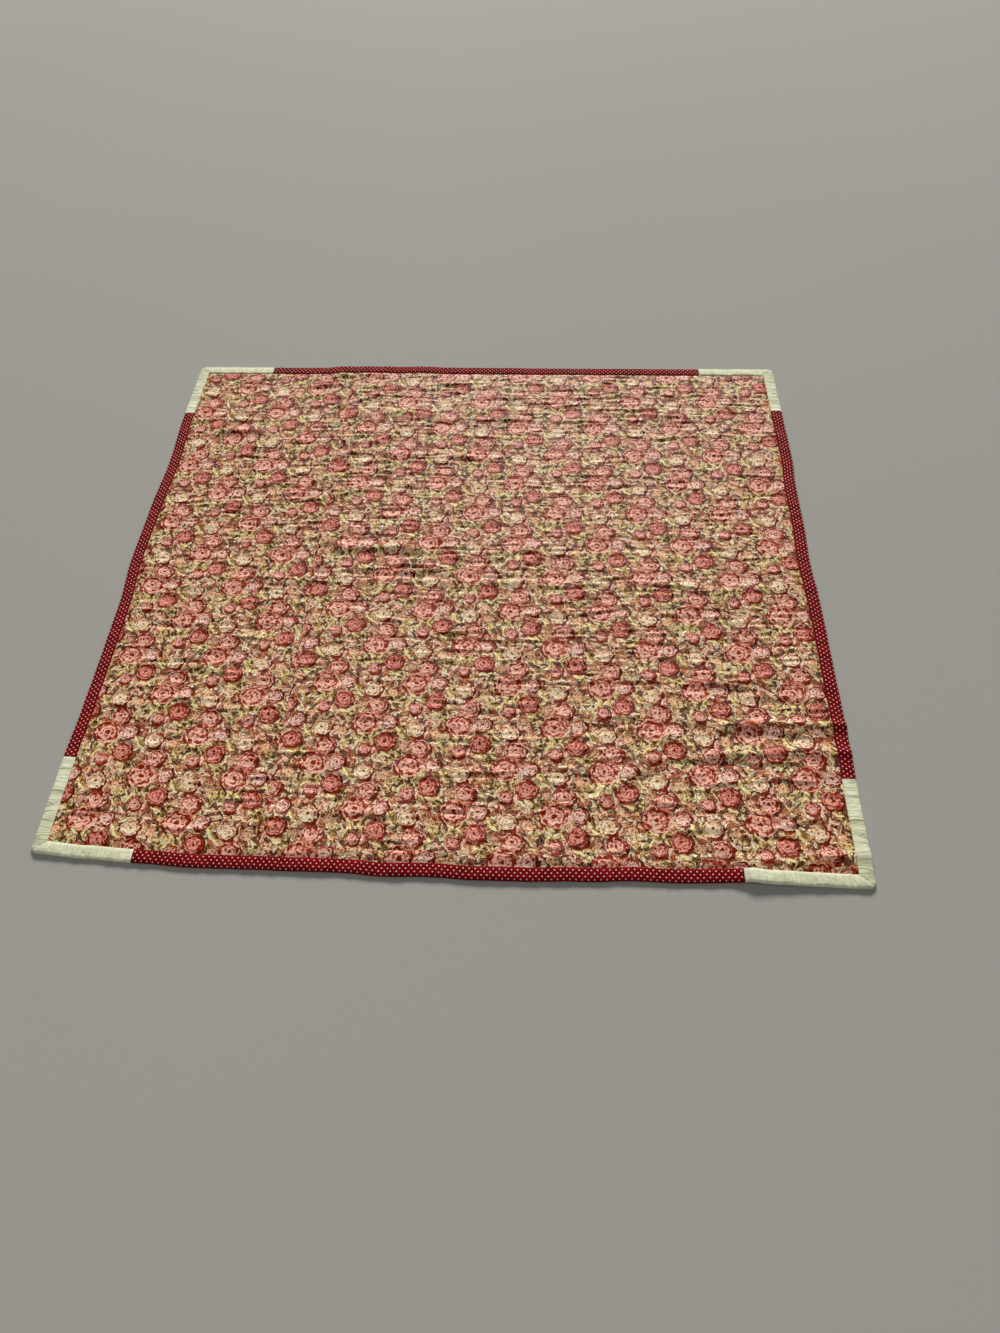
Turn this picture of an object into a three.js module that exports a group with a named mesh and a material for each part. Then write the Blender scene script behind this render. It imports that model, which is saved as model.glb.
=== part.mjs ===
// A thin pieced quilt, laid out flat. Two widths of printed cloth are joined by a seam and quilted,
// and their raw edges lie inside a folded binding: a red strip on each side, a cream piece at each corner.
import * as THREE from 'three';

// Driving dimensions, in millimetres. +X runs to the right, +Y to the back, +Z up.
const clothWidth = 1420;     // the flat cloth, left edge to right edge
const clothLength = 1372;    // and front edge to back edge
const seamAcross = 397;      // the seam between the two printed widths, from the left edge
const bindingWidth = 25;     // what the binding shows on each face
const bindingCloth = 1;      // the binding's own two turned layers of cloth
const bindingHeight = 5.5;   // over the fold, from underside to top
const foldNose = 3;          // the outer edge of the binding is rounded over this width
const foldShoulder = 0.7;    // and its round side passes this far in at the height of the layers
const gap = 0.3;             // between neighbouring pieces
const quiltLoft = 5.2;       // the quilted panels, inside the binding
const slack = 1.5;           // how far a ridge rises before the underside leaves the surface too
const calmBorder = 32;       // the relief doesn't change across this width along each edge
const cornerRound = 14;      // outer corners of the binding
const innerRound = 2;        // inner corners of the binding
const slotDepth = 1.6;       // from the outer edge to the end of the slot inside the fold
const columnStep = 62;       // widest spacing of the panels' columns, left to right
const rowStep = 26;          // widest spacing of the panels' rows, front to back
const levelSlope = 0.2;      // a row follows a fold that runs left to right, no steeper than this,
const highRise = 4;          // and that is this high
const longRun = 400;         // or longer than this

// The four corners of the outline as it lies, and how far each edge bows out between them.
const corners = {
  frontLeft: new THREE.Vector2(-718, -693),
  frontRight: new THREE.Vector2(723, -686),
  backLeft: new THREE.Vector2(-703, 686),
  backRight: new THREE.Vector2(699, 679),
};
const frontBow = [
  { at: 0, out: 0 }, { at: 0.13, out: 10 }, { at: 0.21, out: 14 }, { at: 0.385, out: 11.5 },
  { at: 0.44, out: 15 }, { at: 0.49, out: 12 }, { at: 0.54, out: 14.5 }, { at: 0.67, out: 9 },
  { at: 0.735, out: 3 }, { at: 0.77, out: 4 }, { at: 0.85, out: -1.5 }, { at: 1, out: 0 },
];
const backBow = [
  { at: 0, out: 0 }, { at: 0.27, out: 1 }, { at: 0.39, out: 6.5 }, { at: 0.455, out: 2.5 },
  { at: 1, out: 0 },
];
const leftBow = [
  { at: 0, out: 0 }, { at: 0.295, out: -2.5 }, { at: 0.42, out: -1.8 }, { at: 0.515, out: 5.6 },
  { at: 0.63, out: 4.2 }, { at: 0.745, out: -1.8 }, { at: 0.87, out: 2.6 }, { at: 1, out: 0 },
];
const rightBow = [
  { at: 0, out: 0 }, { at: 0.3, out: 2.5 }, { at: 0.43, out: 1.7 }, { at: 0.54, out: -2.5 },
  { at: 0.7, out: -0.4 }, { at: 0.76, out: 3.8 }, { at: 0.885, out: 2 }, { at: 1, out: 0 },
];

// The length of each cream arm from its corner, along the front or back edge and along the side.
const creamArms = {
  frontLeft: { across: 184, along: 201 },
  frontRight: { across: 209, along: 211 },
  backLeft: { across: 190, along: 181 },
  backRight: { across: 177, along: 158 },
};

// Folds in the laid cloth: from, to and bow in millimetres on the flat cloth, measured from its centre.
// rise is negative for a trough, and reach is the distance at which a fold has sunk to about a third.
const folds = [
  { from: [-650, -25], to: [700, -23], bow: 0, reach: 13, rise: 2.6 },      // storage fold, left to right
  { from: [-220, -7], to: [165, -7], bow: 0, reach: 10, rise: -1.6 },
  { from: [-650, -352], to: [-150, -360], bow: 0, reach: 13, rise: 2.4 },   // second storage fold
  { from: [480, -375], to: [710, -361], bow: 4, reach: 14, rise: 6 },       // its sharp end at the right
  { from: [490, -398], to: [615, -398], bow: 0, reach: 11, rise: -2.6 },
  { from: [470, -437], to: [710, -420], bow: 4, reach: 14, rise: 4.5 },
  { from: [400, -456], to: [600, -456], bow: 0, reach: 11, rise: -2 },
  { from: [-304, 110], to: [-262, 67], bow: -8, reach: 13, rise: 3.4 },     // hooked ridge, left of centre
  { from: [-262, 67], to: [-94, 69], bow: 3, reach: 13, rise: 5 },
  { from: [-256, 49], to: [-98, 50], bow: 0, reach: 11, rise: -2.2 },
  { from: [262, -531], to: [383, -401], bow: -14, reach: 16, rise: 4.6 },   // slanting ridge near the front
  { from: [293, -518], to: [345, -494], bow: 0, reach: 14, rise: -2.4 },
  { from: [453, -618], to: [512, -651], bow: 0, reach: 13, rise: 4 },       // front right corner
  { from: [524, -650], to: [685, -624], bow: -6, reach: 13, rise: 4.4 },
  { from: [406, -583], to: [493, -583], bow: 0, reach: 13, rise: 3.6 },
  { from: [-613, 440], to: [-501, 440], bow: 3, reach: 14, rise: 4 },       // back left quarter
  { from: [-591, 486], to: [-521, 530], bow: 0, reach: 13, rise: 3.4 },
  { from: [-466, 407], to: [-401, 410], bow: 0, reach: 12, rise: 3 },
  { from: [-336, 353], to: [-215, 379], bow: 4, reach: 13, rise: 4 },
  { from: [-334, 279], to: [-277, 301], bow: 0, reach: 12, rise: 3 },
  { from: [-264, 502], to: [-134, 513], bow: 3, reach: 14, rise: 4 },
  { from: [-203, 359], to: [-4, 358], bow: 4, reach: 13, rise: 4 },
  { from: [-94, 168], to: [-2, 205], bow: 0, reach: 13, rise: 3 },
  { from: [-580, -50], to: [-500, -50], bow: 0, reach: 12, rise: 3 },       // left side
  { from: [-510, -332], to: [-430, -332], bow: 0, reach: 12, rise: 3 },
  { from: [-203, -572], to: [-94, -570], bow: 0, reach: 12, rise: 3 },
  { from: [-310, -80], to: [-94, -80], bow: 0, reach: 11, rise: -1.6 },
  { from: [432, -287], to: [595, -287], bow: 0, reach: 11, rise: -2 },      // right side
  { from: [513, -172], to: [615, -172], bow: 0, reach: 11, rise: -2 },
  { from: [384, -373], to: [472, -373], bow: 0, reach: 11, rise: -2 },
  { from: [-348, 654], to: [-226, 665], bow: 0, reach: 14, rise: 4 },       // back edge
  { from: [-2, -638], to: [210, -642], bow: 3, reach: 12, rise: 3 },        // front edge
  { from: [12, -676], to: [18, 675], bow: 0, reach: 14, rise: -1.6 },       // storage folds, front to back
  { from: [364, 96], to: [370, 675], bow: 0, reach: 13, rise: -1.3 },
  { from: [-313, -676], to: [-313, 675], bow: 0, reach: 9, rise: -1.2 },    // furrow of the seam
];

// The value of a bow table at t, easing from each entry to the next.
function bowAt(table, t) {
  const next = Math.max(1, table.findIndex((entry) => entry.at >= t));
  const [before, after] = [table[next - 1], table[next]];
  return THREE.MathUtils.lerp(before.out, after.out, THREE.MathUtils.smoothstep(t, before.at, after.at));
}

// Where a point of the flat cloth lies in plan: a patch between the four corners and four bowed edges.
function planPoint(across, along) {
  const u = across / clothWidth;
  const v = along / clothLength;
  const front = corners.frontLeft.clone().lerp(corners.frontRight, u);
  const back = corners.backLeft.clone().lerp(corners.backRight, u);
  const point = front.lerp(back, v);
  point.x += u * bowAt(rightBow, v) - (1 - u) * bowAt(leftBow, v);
  point.y += v * bowAt(backBow, u) - (1 - v) * bowAt(frontBow, u);
  return point;
}

// How much one fold raises the cloth at a point: full along its bowed line, fading beside and past it.
function foldRise(fold, point) {
  const from = new THREE.Vector2(...fold.from);
  const line = new THREE.Vector2(...fold.to).sub(from);
  const length = line.length();
  const offset = point.clone().sub(from);
  const along = offset.dot(line) / length;
  const t = THREE.MathUtils.clamp(along / length, 0, 1);
  const beside = offset.cross(line) / length + 4 * fold.bow * t * (1 - t);
  const past = along - t * length;
  return fold.rise * Math.exp(-(beside * beside + past * past) / (fold.reach * fold.reach));
}

// The relief of the laid cloth, level across the calm border along each edge.
function relief(across, along) {
  const furthest = new THREE.Vector2(clothWidth / 2 - calmBorder, clothLength / 2 - calmBorder);
  const point = new THREE.Vector2(across - clothWidth / 2, along - clothLength / 2);
  point.clamp(furthest.clone().negate(), furthest);
  return folds.reduce((sum, fold) => sum + foldRise(fold, point), 0);
}

const reliefOverEdge = (across, along) => Math.max(0, relief(across, along));

// A point over the flat cloth's point, at a height over the surface that the quilt lies on.
function clothPoint(across, along, height) {
  const plan = planPoint(across, along);
  return new THREE.Vector3(plan.x, plan.y, height);
}

// Positions from first to last through every stop between them, filled in to at most the given step.
function stations(first, last, stops, step) {
  const inside = stops.filter((stop) => stop > first && stop < last);
  const fixed = [first, ...inside.sort((a, b) => a - b), last];
  return fixed.slice(1).reduce((list, stop, i) => {
    const count = Math.ceil((stop - fixed[i]) / step);
    for (let k = 1; k <= count; k += 1) {
      list.push(fixed[i] + ((stop - fixed[i]) * k) / count);
    }
    return list;
  }, [first]);
}

// A closed body from a list of points and the triangles that join them, turned so that it faces out.
function closedBody(points, triangles) {
  const volume = triangles.reduce((sum, [a, b, c]) => {
    const normal = new THREE.Vector3().crossVectors(points[b], points[c]);
    return sum + points[a].dot(normal);
  }, 0);
  const facing = volume > 0 ? triangles : triangles.map(([a, b, c]) => [a, c, b]);
  const geometry = new THREE.BufferGeometry().setFromPoints(points);
  geometry.setIndex(facing.flat());
  geometry.computeVertexNormals();
  return geometry;
}

function quad(a, b, c, d) {
  return [[a, b, c], [a, c, d]];
}

// A sheet with a top and an underside on the same grid of columns and rows, closed round its rim.
function sheetBody(columns, rows, pointAt) {
  const points = [];
  const triangles = [];
  const layerSize = columns.length * rows.length;
  for (const isTop of [true, false]) {
    columns.forEach((across) => rows.forEach((along) => points.push(pointAt(across, along, isTop))));
  }
  const topIndex = (i, j) => i * rows.length + j;
  const lastColumn = columns.length - 1;
  const lastRow = rows.length - 1;
  for (let i = 0; i < lastColumn; i += 1) {
    for (let j = 0; j < lastRow; j += 1) {
      const top = [topIndex(i, j), topIndex(i + 1, j), topIndex(i + 1, j + 1), topIndex(i, j + 1)];
      const under = top.map((n) => n + layerSize).reverse();
      triangles.push(...quad(...top), ...quad(...under));
    }
  }
  const rim = [];
  for (let i = 0; i < lastColumn; i += 1) rim.push(topIndex(i, 0));
  for (let j = 0; j < lastRow; j += 1) rim.push(topIndex(lastColumn, j));
  for (let i = lastColumn; i > 0; i -= 1) rim.push(topIndex(i, lastRow));
  for (let j = lastRow; j > 0; j -= 1) rim.push(topIndex(0, j));
  rim.forEach((start, n) => {
    const end = rim[(n + 1) % rim.length];
    triangles.push(...quad(end, start, start + layerSize, end + layerSize));
  });
  return closedBody(points, triangles);
}

// A body swept through sections that all have the same number of points, with flat ends.
function sweptBody(sections, endTriangles) {
  const size = sections[0].length;
  const triangles = [];
  for (let s = 0; s + 1 < sections.length; s += 1) {
    for (let k = 0; k < size; k += 1) {
      const next = (k + 1) % size;
      triangles.push(...quad(s * size + k, s * size + next, (s + 1) * size + next, (s + 1) * size + k));
    }
  }
  const last = (sections.length - 1) * size;
  endTriangles.forEach(([a, b, c]) => triangles.push([a, c, b], [last + a, last + b, last + c]));
  return closedBody(sections.flat(), triangles);
}

// The stops that panels and binding share, so that their facets follow the same folds.
const armStops = Object.entries(creamArms).map(([name, arm]) => ({
  across: name.endsWith('Left') ? arm.across : clothWidth - arm.across,
  along: name.startsWith('front') ? arm.along : clothLength - arm.along,
}));
const foldRows = folds
  .map((fold) => ({
    rise: fold.rise,
    run: Math.abs(fold.to[0] - fold.from[0]),
    drift: Math.abs(fold.to[1] - fold.from[1]),
    along: clothLength / 2 + (fold.from[1] + fold.to[1]) / 2,
  }))
  .filter((fold) => fold.drift < levelSlope * fold.run && (fold.rise >= highRise || fold.run > longRun))
  .map((fold) => fold.along);
const columnStops = stations(
  calmBorder, clothWidth - calmBorder, [seamAcross, ...armStops.map((stop) => stop.across)], columnStep);
const rowStops = stations(
  calmBorder, clothLength - calmBorder, [...foldRows, ...armStops.map((stop) => stop.along)], rowStep);

// The binding's section: how far in from the outer edge each point lies, and its height. The slot
// between its two layers holds the panel's raw edge.
const slotTop = bindingHeight - bindingCloth;
const bindingSection = [
  { inward: bindingWidth, height: bindingHeight },
  { inward: foldNose, height: bindingHeight },
  { inward: foldShoulder, height: slotTop },
  { inward: 0, height: bindingHeight / 2 },
  { inward: foldShoulder, height: bindingCloth },
  { inward: foldNose, height: 0 },
  { inward: bindingWidth, height: 0 },
  { inward: bindingWidth, height: bindingCloth },
  { inward: slotDepth, height: bindingCloth },
  { inward: slotDepth, height: slotTop },
  { inward: bindingWidth, height: slotTop },
];
const bindingEnd = THREE.ShapeUtils.triangulateShape(
  bindingSection.map((entry) => new THREE.Vector2(entry.inward, entry.height)), []);

// One section of the binding between an outer and an inner point of the flat cloth.
function bindingAt(outer, inner) {
  const lift = reliefOverEdge(inner.x, inner.y);
  return bindingSection.map((entry) => {
    const cloth = outer.clone().lerp(inner, entry.inward / bindingWidth);
    return clothPoint(cloth.x, cloth.y, entry.height + lift);
  });
}

// A red strip along one edge. isSide is for the left and right edges, isFar for the right and back ones.
function redStrip(first, last, isSide, isFar) {
  const reach = isSide ? clothWidth : clothLength;
  const pointAt = (distance, inward) => {
    const depth = isFar ? reach - inward : inward;
    return isSide ? new THREE.Vector2(depth, distance) : new THREE.Vector2(distance, depth);
  };
  const distances = stations(
    first + gap / 2, last - gap / 2, isSide ? rowStops : columnStops, clothWidth);
  const sections = distances.map((distance) => bindingAt(
    pointAt(distance, 0), pointAt(distance, bindingWidth)));
  return sweptBody(sections, bindingEnd);
}

// An L-shaped corner piece: in along one arm, round the corner, out along the other.
function creamCorner(arm, isRight, isBack) {
  const fromLeft = (p) => (isRight ? clothWidth - p : p);
  const fromFront = (q) => (isBack ? clothLength - q : q);
  const clothAt = (p, q) => new THREE.Vector2(fromLeft(p), fromFront(q));
  const acrossArm = stations(
    calmBorder, arm.across - gap / 2, columnStops.map(fromLeft), clothWidth).reverse();
  const alongArm = stations(
    calmBorder, arm.along - gap / 2, rowStops.map(fromFront), clothWidth);
  const turnCentre = bindingWidth + innerRound;
  const turns = [0, 0.25, 0.5, 0.75, 1].map((part) => {
    const [cos, sin] = [Math.cos(part * Math.PI / 2), Math.sin(part * Math.PI / 2)];
    return {
      outer: clothAt(cornerRound * (1 - sin), cornerRound * (1 - cos)),
      inner: clothAt(turnCentre - innerRound * sin, turnCentre - innerRound * cos),
    };
  });
  const sections = [
    ...acrossArm.map((p) => bindingAt(clothAt(p, 0), clothAt(p, bindingWidth))),
    ...turns.map((turn) => bindingAt(turn.outer, turn.inner)),
    ...alongArm.map((q) => bindingAt(clothAt(0, q), clothAt(bindingWidth, q))),
  ];
  return sweptBody(sections, bindingEnd);
}

// The panels run on into the binding's slot, where they are pressed thinner and lie between its layers.
const rawEdge = slotDepth + gap;
const pressedEdge = bindingWidth + 0.4;
const cutCorner = 6.2; // the panel's corner is trimmed diagonally inside the rounded binding

function panelPoint(across, along, isTop) {
  const insets = [across, clothWidth - across, along, clothLength - along];
  const isPressed = insets.some((inset) => inset < pressedEdge + gap);
  if (!isPressed) {
    const rise = relief(across, along);
    return clothPoint(across, along, isTop ? quiltLoft + rise : Math.max(0, rise - slack));
  }
  const height = isTop ? slotTop - gap : bindingCloth + gap;
  const isCorner = insets.filter((inset) => inset < rawEdge + gap).length === 2;
  const trim = isCorner ? cutCorner : rawEdge;
  const x = THREE.MathUtils.clamp(across, trim, clothWidth - trim);
  const y = THREE.MathUtils.clamp(along, trim, clothLength - trim);
  return clothPoint(x, y, height + reliefOverEdge(across, along));
}

function quiltPanel(columns) {
  const rows = [rawEdge, pressedEdge, ...rowStops, clothLength - pressedEdge, clothLength - rawEdge];
  return sheetBody(columns, rows, panelPoint);
}

const leftColumns = columnStops.filter((stop) => stop < seamAcross);
const rightColumns = columnStops.filter((stop) => stop > seamAcross);

const printCloth = new THREE.MeshStandardMaterial({ color: 0xa67a61, roughness: 0.85, metalness: 0 });
const redCloth = new THREE.MeshStandardMaterial({ color: 0x7d141a, roughness: 0.85, metalness: 0 });
const creamCloth = new THREE.MeshStandardMaterial({ color: 0xccce9e, roughness: 0.9, metalness: 0 });

const quilt = new THREE.Group();

function addPiece(name, geometry, material) {
  const piece = new THREE.Mesh(geometry, material);
  piece.name = name;
  quilt.add(piece);
}

addPiece('panel_left', quiltPanel([rawEdge, pressedEdge, ...leftColumns, seamAcross - gap / 2]), printCloth);
addPiece('panel_right', quiltPanel(
  [seamAcross + gap / 2, ...rightColumns, clothWidth - pressedEdge, clothWidth - rawEdge]), printCloth);

const { frontLeft, frontRight, backLeft, backRight } = creamArms;
const frontStrip = redStrip(frontLeft.across, clothWidth - frontRight.across, false, false);
const backStrip = redStrip(backLeft.across, clothWidth - backRight.across, false, true);
const leftStrip = redStrip(frontLeft.along, clothLength - backLeft.along, true, false);
const rightStrip = redStrip(frontRight.along, clothLength - backRight.along, true, true);
addPiece('binding_front', frontStrip, redCloth);
addPiece('binding_back', backStrip, redCloth);
addPiece('binding_left', leftStrip, redCloth);
addPiece('binding_right', rightStrip, redCloth);

addPiece('corner_front_left', creamCorner(frontLeft, false, false), creamCloth);
addPiece('corner_front_right', creamCorner(frontRight, true, false), creamCloth);
addPiece('corner_back_left', creamCorner(backLeft, false, true), creamCloth);
addPiece('corner_back_right', creamCorner(backRight, true, true), creamCloth);

// The uneven outline is centred on the origin, with its underside at z = 0.
const centre = new THREE.Box3().setFromObject(quilt).getCenter(new THREE.Vector3());
quilt.position.set(-centre.x, -centre.y, 0);

export default quilt;
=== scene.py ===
import math
import bpy
import numpy as np
from mathutils import Matrix, Vector


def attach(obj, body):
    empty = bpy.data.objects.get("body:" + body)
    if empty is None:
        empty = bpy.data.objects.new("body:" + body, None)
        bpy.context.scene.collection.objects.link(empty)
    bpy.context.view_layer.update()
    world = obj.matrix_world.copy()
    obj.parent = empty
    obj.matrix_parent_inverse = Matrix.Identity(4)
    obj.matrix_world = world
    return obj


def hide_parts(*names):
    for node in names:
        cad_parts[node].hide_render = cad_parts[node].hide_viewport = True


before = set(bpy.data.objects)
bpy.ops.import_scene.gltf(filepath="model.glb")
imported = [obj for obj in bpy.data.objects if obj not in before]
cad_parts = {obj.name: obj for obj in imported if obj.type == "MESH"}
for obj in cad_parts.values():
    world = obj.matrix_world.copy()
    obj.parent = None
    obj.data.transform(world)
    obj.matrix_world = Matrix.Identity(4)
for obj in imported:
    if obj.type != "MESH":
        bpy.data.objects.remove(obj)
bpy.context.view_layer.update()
print("quilt: frame loaded with", len(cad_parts), "nodes")

scene = bpy.context.scene
scene.view_settings.view_transform = "Standard"

view = {
    "sensor": 36,  # mm, the longer side of the picture
    "lens": 29.7,  # mm
    "place": (0.1603, -1.5523, 1.678),
    "pitch": 51.61,  # degrees down from level
    "yaw": -9.38,  # degrees to the right of +Y
    "roll": -5.75,  # degrees
    "shift": 0.0551,  # of the sensor
    "farthest": 60,
}


def placeCamera(settings):
    pitch, yaw, roll = (math.radians(settings[key]) for key in ("pitch", "yaw", "roll"))
    ahead = (math.sin(yaw) * math.cos(pitch), math.cos(yaw) * math.cos(pitch), -math.sin(pitch))
    forward = Vector(ahead)
    level = Vector((math.cos(yaw), -math.sin(yaw), 0))
    upright = level.cross(forward)
    right = level * math.cos(roll) + upright * math.sin(roll)
    up = upright * math.cos(roll) - level * math.sin(roll)
    lens = bpy.data.cameras.new("camera")
    lens.sensor_width = settings["sensor"]
    lens.lens = settings["lens"]
    lens.shift_x = settings["shift"]
    lens.clip_end = settings["farthest"]
    cameraObject = bpy.data.objects.new("camera", lens)
    turn = Matrix((right, up, -forward)).transposed()
    cameraObject.matrix_world = Matrix.Translation(settings["place"]) @ turn.to_4x4()
    scene.collection.objects.link(cameraObject)
    scene.camera = cameraObject


placeCamera(view)
print("quilt: camera placed")


# The flat cloth in millimetres: across runs to the right from its left edge, along to the back.
cloth = {
    "width": 1420,
    "length": 1372,
    "seam": 397,  # between the two printed widths
    "binding": 25,  # what the binding shows on each face
    "shift": (-2.46, 8.12),  # puts the middle of the outline over the origin
    "calm": 32,  # the big folds run out level across this border
    "foldRise": 0.85,
    "foldReach": 1.2,
    "foldFade": 1.6,  # a fold's ends fade out over this many times its reach
}

# The outline in plan: its corners, and how far each side stands out from the line between them,
# in shares of the way along it and millimetres.
outline = {
    "frontLeft": (-718, -693),
    "frontRight": (723, -686),
    "backLeft": (-703, 686),
    "backRight": (699, 679),
    "bows": {
        "front": [(0, 0), (0.075, 6.4), (0.13, 10), (0.21, 14), (0.29, 12.8), (0.385, 11.5), (0.44, 15.2),
                  (0.49, 12), (0.54, 14.6), (0.595, 13), (0.67, 9), (0.735, 3.2), (0.77, 4.2),
                  (0.85, -1.5), (0.89, 0), (1, 0)],
        "back": [(0, 0), (0.18, 0.3), (0.345, 4), (0.395, 7.5), (0.455, 3), (0.71, 1), (0.88, -0.3), (1, 0)],
        "left": [(0, 0), (0.146, 0.6), (0.227, -2), (0.296, -2.5), (0.42, -1.8), (0.516, 5.6), (0.63, 4.2),
                 (0.743, -1.8), (0.868, 2.6), (1, 0)],
        "right": [(0, 0), (0.25, 2.3), (0.35, 1.8), (0.43, 1.7), (0.54, -2.5), (0.62, 0.3), (0.7, -0.4),
                  (0.76, 3.8), (0.884, 2), (1, 0)],
    },
    "waver": 0.8,  # fine unevenness of the sides
    "waverSize": 21,
    "waverRows": {"right": 5.3, "left": 15.3, "back": 25.3, "front": 35.3},
}

# How far each cream arm runs from its corner: across the quilt, and along it.
creamArms = {
    "frontLeft": (184, 201),
    "frontRight": (209, 211),
    "backLeft": (190, 181),
    "backRight": (177, 158),
}

# Folds: from x, y to x, y on the flat cloth from its middle, then bow, reach and rise.
# A trough's rise is negative.
folds = [
    (-650, -25, 700, -23, 0, 10, 2.4), (-220, -9, 165, -9, 0, 6, -2.2),  # storage fold
    (-650, -352, -150, -360, 0, 10, 2.2),
    (480, -375, 710, -361, 4, 8.6, 7), (490, -391, 620, -393, 0, 6, -3.2),  # sharp folds at the right
    (470, -437, 710, -420, 4, 8.6, 5.6), (400, -454, 600, -456, 0, 6, -3),
    (-304, 110, -262, 67, -8, 10, 3.6), (-262, 67, -94, 69, 3, 9, 5.2), (-256, 50, -98, 51, 0, 8, -2.4),
    (262, -531, 383, -401, -14, 12, 4.8), (293, -518, 345, -494, 0, 12, -2.6),  # slanting ridge
    (453, -618, 512, -651, 0, 10, 4), (524, -650, 685, -624, -6, 10, 4.6),
    (406, -583, 493, -583, 0, 10, 3.6), (-613, 440, -501, 440, 3, 10, 4),
    (-591, 486, -521, 530, 0, 10, 3.6), (-466, 407, -401, 410, 0, 9, 3.2),
    (-336, 353, -215, 379, 4, 10, 4), (-334, 279, -277, 301, 0, 9, 3.2), (-264, 502, -134, 513, 3, 10, 4),
    (-203, 359, -4, 358, 4, 9, 4), (-94, 168, -2, 205, 0, 10, 3), (-372, 383, -221, 386, 0, 8, -1.6),
    (-403, 378, -372, 389, 0, 8, 2.4), (-580, -50, -500, -50, 0, 9, 3), (-510, -332, -430, -332, 0, 9, 3),
    (-557, -236, -516, -236, 0, 8, 2.4), (-203, -572, -94, -570, 0, 9, 3),
    (-301, -473, -271, -473, 0, 8, 2.2), (-310, -80, -94, -80, 0, 8, -1.6),
    (432, -287, 595, -287, 0, 8, -2), (513, -172, 615, -172, 0, 8, -2),
    (384, -373, 472, -373, 0, 8, -2), (-348, 654, -226, 665, 0, 11, 4), (-2, -638, 210, -642, 3, 9, 3),
    (-393, 155, -362, 155, 0, 8, -1.6), (-322, 128, -281, 128, 0, 8, -1.6),
    (-454, -258, -403, -258, 0, 8, -1.6), (-433, -443, -403, -443, 0, 8, -1.6),
    (95, -372, 136, -372, 0, 8, -1.8), (267, -370, 297, -370, 0, 8, -1.8), (368, 97, 419, 97, 0, 8, -1.8),
    (459, 68, 510, 68, 0, 8, -1.8), (600, -494, 640, -494, 0, 8, -1.8),
    (12, -676, 18, 675, 0, 11, -1.6), (364, 96, 370, 675, 0, 10, -1.3),  # folds from front to back
    (-313, -676, -313, 675, 0, 8, -0.8), (-313, -676, -313, 675, 0, 2.2, -1.1),  # the seam
]

# Short low creases, mostly from left to right, and taller ones in the back left quarter.
crumple = {
    "seed": 11,
    "tableSize": 64,
    "creases": 560,
    "creaseBorder": 45,  # their middles stay this far from the edges
    "creaseLength": (16, 85),
    "creaseRise": (0.8, 2.6),
    "creaseReach": (2.6, 5),
    "creaseTilt": 5.5,  # degrees, the usual spread
    "creaseFade": 2.4,  # their ends fade out over this many times their reach
    "dips": 0.35,  # the share of them that dip
    "dipDepth": 0.8,
    "cornerFolds": 34,
    "cornerX": (-640, -170),
    "cornerY": (150, 640),
    "cornerTilt": (8, 36),  # they climb to the right
    "cornerHalf": (18, 48),
    "cornerRise": (1.2, 3),
    "cornerReach": (4.5, 8),
    "gathersLift": 0.56,  # so that more of the binding's gathers stand up
    "gathersApart": 3000,  # keeps those of neighbouring sides unlike
}

# Layers of noise: size from left to right, size from front to back, rise, and start in the table.
layers = {
    "drift": (130, 90, 16, (7, 3)),
    "strength": (240, 200, 1.2, (3, 5)),
    "puckers": (66, 13, 4.16, (0, 0)),
    "finePuckers": (26.4, 5.46, 1.3, (31, 17)),
    "softPuckers": (39.6, 10.4, 1.04, (45, 51)),
    "unevenness": (75, 40, 1.6, (11, 29)),
    "gathers": (12, 60, 2, (0, 0)),
    "fineGathers": (5.4, 25, 1.2, (9, 40)),
}

chance = np.random.default_rng(crumple["seed"])
noiseTable = chance.random((crumple["tableSize"], crumple["tableSize"]))


def smoothStep(value, low, high):
    t = np.clip((value - low) / (high - low), 0, 1)
    return t * t * (3 - 2 * t)


def cellNoise(x, y):
    size = crumple["tableSize"]
    column, row = np.floor(x).astype(int), np.floor(y).astype(int)

    def entry(right, up):
        return noiseTable[(column + right) % size, (row + up) % size]

    s, t = smoothStep(x - column, 0, 1), smoothStep(y - row, 0, 1)
    near = entry(0, 0) * (1 - s) + entry(1, 0) * s
    far = entry(0, 1) * (1 - s) + entry(1, 1) * s
    return near * (1 - t) + far * t - 0.5


def layerNoise(name, x, y):
    long, wide, rise, start = layers[name]
    return rise * cellNoise(x / long + start[0], y / wide + start[1])


# Creases with their middle, direction, half length, reach and rise, all drawn from the seed.
def scatterCreases(settings):
    def draw(key):
        return chance.uniform(*settings[key], count)

    def rows(x, y, tilt, half, rise, reach):
        return list(zip(x, y, np.cos(tilt), np.sin(tilt), half, reach, rise))

    count, border = settings["creases"], 2 * settings["creaseBorder"]
    x, y = ((chance.random((count, 2)) - 0.5) * (cloth["width"] - border, cloth["length"] - border)).T
    tilt = np.radians(chance.normal(0, settings["creaseTilt"], count))
    half, rise = draw("creaseLength") / 2, draw("creaseRise")
    rise *= np.where(chance.random(count) < settings["dips"], -settings["dipDepth"], 1)
    spreadOut = rows(x, y, tilt, half, rise, draw("creaseReach"))
    count = settings["cornerFolds"]
    return spreadOut + rows(draw("cornerX"), draw("cornerY"), np.radians(draw("cornerTilt")),
                            draw("cornerHalf"), draw("cornerRise"), draw("cornerReach"))


creases = scatterCreases(crumple)


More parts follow.
